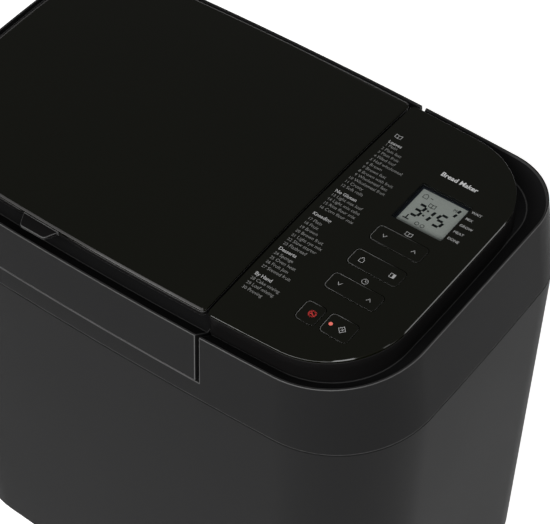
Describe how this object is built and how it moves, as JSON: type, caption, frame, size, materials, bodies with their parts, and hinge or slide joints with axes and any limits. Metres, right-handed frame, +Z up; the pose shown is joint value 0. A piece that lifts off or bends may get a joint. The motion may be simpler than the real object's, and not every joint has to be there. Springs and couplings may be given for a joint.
{
  "type": "bread machine",
  "caption": "Countertop bread machine with a glossy hinged lid, a second cover over a dispenser, a sloping-rim control panel with rocker keys, and a lift-out pan with a kneading blade.",
  "frame": {"origin": "centre of the footprint, on the surface that the feet stand on", "axes": "+X to the right towards the control side, +Y to the rear hinge side, +Z up"},
  "size_m": [0.408, 0.2519, 0.362],
  "materials": {
    "casing_plastic": "fine spark-eroded texture",
    "gloss_black": "polished",
    "satin_frame": "satin",
    "clear_window": "clear",
    "lcd": "liquid crystal display",
    "light_red": "light pipe",
    "liner_steel": "pressed sheet",
    "liner_aluminium": "sheet",
    "nonstick_pan": "non-stick coated",
    "rubber": "moulded",
    "silicone": "moulded",
    "steel": "turned",
    "zinc_steel": "zinc plated",
    "bearing_brass": "sintered",
    "inner_plastic": "moulded",
    "board_green": "laminate",
    "component_black": "moulded"
  },
  "bodies": {
    "body": {"base_plate": "inner_plastic", "board_components": "component_black", "capacitor": "component_black", "chamber_liner": "liner_steel", "chamber_standoffs": "zinc_steel", "chassis_plate": "zinc_steel", "control_board": "board_green", "control_housing": "satin_frame", "control_window": "gloss_black", "cord_gland": "rubber", "drive_bearing": "bearing_brass", "drive_belt": "rubber", "frame_screws": "zinc_steel", "heat_shield": "zinc_steel", "heater_clips": "zinc_steel", "heater_ring": "steel", "lcd_display": "lcd", "lcd_frame": "inner_plastic", "lcd_lens": "clear_window", "lid_hinge_pins": "steel", "lower_housing": "casing_plastic", "motor": "zinc_steel", "motor_mounts": "rubber", "pan_holder": "liner_aluminium", "power_board": "board_green", "rubber_feet": "rubber", "tact_switches": "component_black", "temperature_sensor": "steel", "upper_frame": "casing_plastic"},
    "lid": {"lid_base": "casing_plastic", "lid_liner": "liner_aluminium", "lid_gasket": "silicone", "lid_screws": "steel", "dispenser_bin": "inner_plastic", "flap_pin": "steel", "dispenser_solenoid": "zinc_steel", "cover_hinge_pins": "steel"},
    "cover": {"lid_cover": "gloss_black", "cover_frame": "satin_frame", "cover_seal": "silicone"},
    "flap": {"dispenser_flap": "liner_aluminium"},
    "plunger": {"solenoid_plunger": "steel"},
    "pan": {"bread_pan": "nonstick_pan", "pan_base_ring": "liner_aluminium", "pan_bush": "bearing_brass", "bail_pivots": "steel"},
    "bail": {"bail_handle": "steel"},
    "spindle": {"pan_spindle": "steel", "kneading_blade": "nonstick_pan"},
    "drive": {"drive_shaft": "steel", "drive_coupling": "liner_aluminium", "large_pulley": "inner_plastic"},
    "motor_rotor": {"motor_shaft": "steel", "motor_pulley": "inner_plastic"},
    "select_key": {"select_key": "gloss_black"},
    "option_key": {"option_key": "gloss_black"},
    "timer_key": {"timer_key": "gloss_black"},
    "stop_key": {"stop_key": "gloss_black"},
    "start_key": {"start_key": "gloss_black", "start_light": "light_red"}
  },
  "joints": [
    {"name": "lid_hinge", "type": "hinge", "parent": "body", "child": "lid", "pos_m": [-0.06415, 0.118, 0.312], "axis": [-1, 0, 0], "range_deg": [0, 75]},
    {"name": "cover_hinge", "type": "hinge", "parent": "lid", "child": "cover", "pos_m": [-0.06415, 0.1055, 0.349], "axis": [-1, 0, 0], "range_deg": [0, 68]},
    {"name": "flap_hinge", "type": "hinge", "parent": "lid", "child": "flap", "pos_m": [-0.06415, 0.09, 0.3142], "axis": [1, 0, 0], "range_deg": [0, 80], "stiffness_Nm_per_rad": 0.004, "springref_deg": -171.89},
    {"name": "plunger_slide", "type": "slide", "parent": "lid", "child": "plunger", "axis": [0, -1, 0], "range_m": [0, 0.003], "stiffness_N_per_m": 60, "springref_m": -0.004},
    {"name": "pan_lift", "type": "slide", "parent": "body", "child": "pan", "axis": [0, 0, 1], "range_m": [0, 0.008]},
    {"name": "bail_pivot", "type": "hinge", "parent": "pan", "child": "bail", "pos_m": [-0.06415, 0, 0.216], "axis": [-1, 0, 0], "range_deg": [0, 180]},
    {"name": "drive_spin", "type": "hinge", "parent": "body", "child": "drive", "pos_m": [-0.06415, 0, 0.04], "axis": [0, 0, 1], "continuous": true},
    {"name": "spindle_spin", "type": "hinge", "parent": "pan", "child": "spindle", "pos_m": [-0.06415, 0, 0.1], "axis": [0, 0, 1], "continuous": true},
    {"name": "motor_spin", "type": "hinge", "parent": "body", "child": "motor_rotor", "pos_m": [0.124, 0, 0.04], "axis": [0, 0, 1], "continuous": true},
    {"name": "select_key_rock", "type": "hinge", "parent": "body", "child": "select_key", "pos_m": [0.1404, 0.0015, 0.357], "axis": [0, 1, 0], "range_deg": [-1.2, 1.2], "stiffness_Nm_per_rad": 2},
    {"name": "option_key_rock", "type": "hinge", "parent": "body", "child": "option_key", "pos_m": [0.1404, -0.0223, 0.357], "axis": [0, 1, 0], "range_deg": [-1.2, 1.2], "stiffness_Nm_per_rad": 2},
    {"name": "timer_key_rock", "type": "hinge", "parent": "body", "child": "timer_key", "pos_m": [0.1404, -0.0458, 0.357], "axis": [0, 1, 0], "range_deg": [-1.2, 1.2], "stiffness_Nm_per_rad": 2},
    {"name": "stop_key_press", "type": "slide", "parent": "body", "child": "stop_key", "axis": [0, 0, -1], "range_m": [0, 0.0005], "stiffness_N_per_m": 900, "springref_m": -0.0002},
    {"name": "start_key_press", "type": "slide", "parent": "body", "child": "start_key", "axis": [0, 0, -1], "range_m": [0, 0.0005], "stiffness_N_per_m": 900, "springref_m": -0.0002}
  ],
  "couplings": [
    {"joint": "spindle_spin", "follows": "drive_spin", "ratio": 1},
    {"joint": "motor_spin", "follows": "drive_spin", "ratio": 5.1111}
  ]
}
